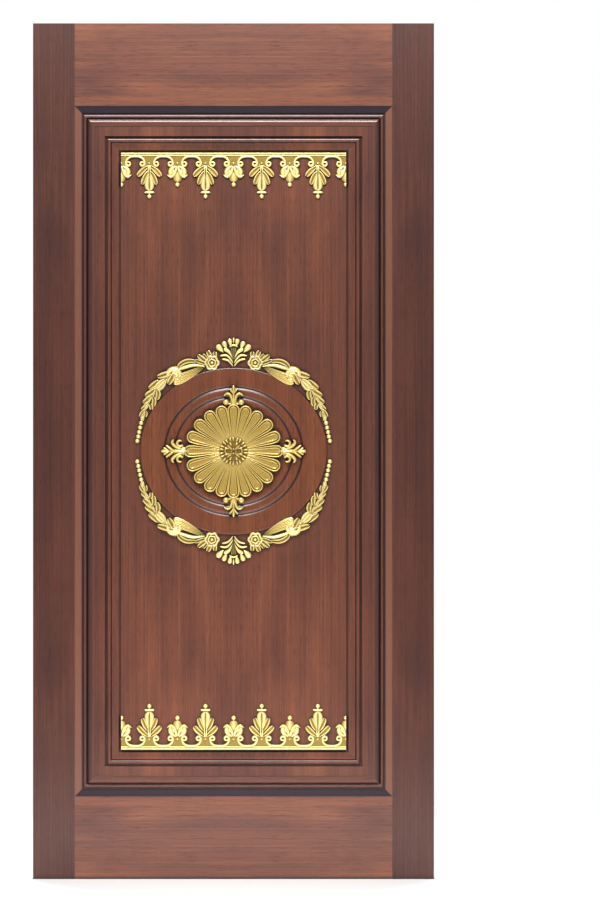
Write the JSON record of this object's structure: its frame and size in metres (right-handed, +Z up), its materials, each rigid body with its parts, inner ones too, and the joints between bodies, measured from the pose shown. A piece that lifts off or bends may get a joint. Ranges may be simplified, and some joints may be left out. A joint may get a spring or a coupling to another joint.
{
  "type": "panel door leaf",
  "caption": "Solid-wood door leaf with a raised moulding round one tall panel, a low oval disc and gilded carvings on its front.",
  "frame": {"origin": "middle of the leaf's bottom edge, at mid width and mid thickness of its frame", "axes": "+X to the right seen from the front, +Y from the carved front to the plain back, +Z up along the stiles"},
  "size_m": [1, 0.04, 2.134],
  "materials": {
    "stile_wood": "reddish brown stained teak, satin varnish, vertical grain",
    "rail_wood": "slightly lighter stained teak, satin varnish, level grain",
    "moulding_wood": "stained teak with fine straight grain, satin varnish",
    "panel_wood": "stained teak, satin varnish, vertical grain",
    "roundel_wood": "stained teak, satin varnish",
    "wedge_wood": "dark hardwood end grain, varnished",
    "gilding": "carved wood, bright lemon-gold gilding",
    "rosette_gilding": "carved wood, deeper olive-gold gilding"
  },
  "bodies": {
    "root": {"frieze_bottom": "gilding", "frieze_top": "gilding", "garland_bottom_left": "gilding", "garland_bottom_right": "gilding", "garland_top_left": "gilding", "garland_top_right": "gilding", "moulding_back_bottom": "moulding_wood", "moulding_back_left": "moulding_wood", "moulding_back_right": "moulding_wood", "moulding_back_top": "moulding_wood", "moulding_front_bottom": "moulding_wood", "moulding_front_left": "moulding_wood", "moulding_front_right": "moulding_wood", "moulding_front_top": "moulding_wood", "palmette_bottom": "gilding", "palmette_top": "gilding", "panel": "panel_wood", "rail_bottom": "rail_wood", "rail_top": "rail_wood", "rosette": "rosette_gilding", "roundel": "roundel_wood", "stile_left": "stile_wood", "stile_right": "stile_wood", "tenon_wedges": "wedge_wood"}
  },
  "joints": []
}
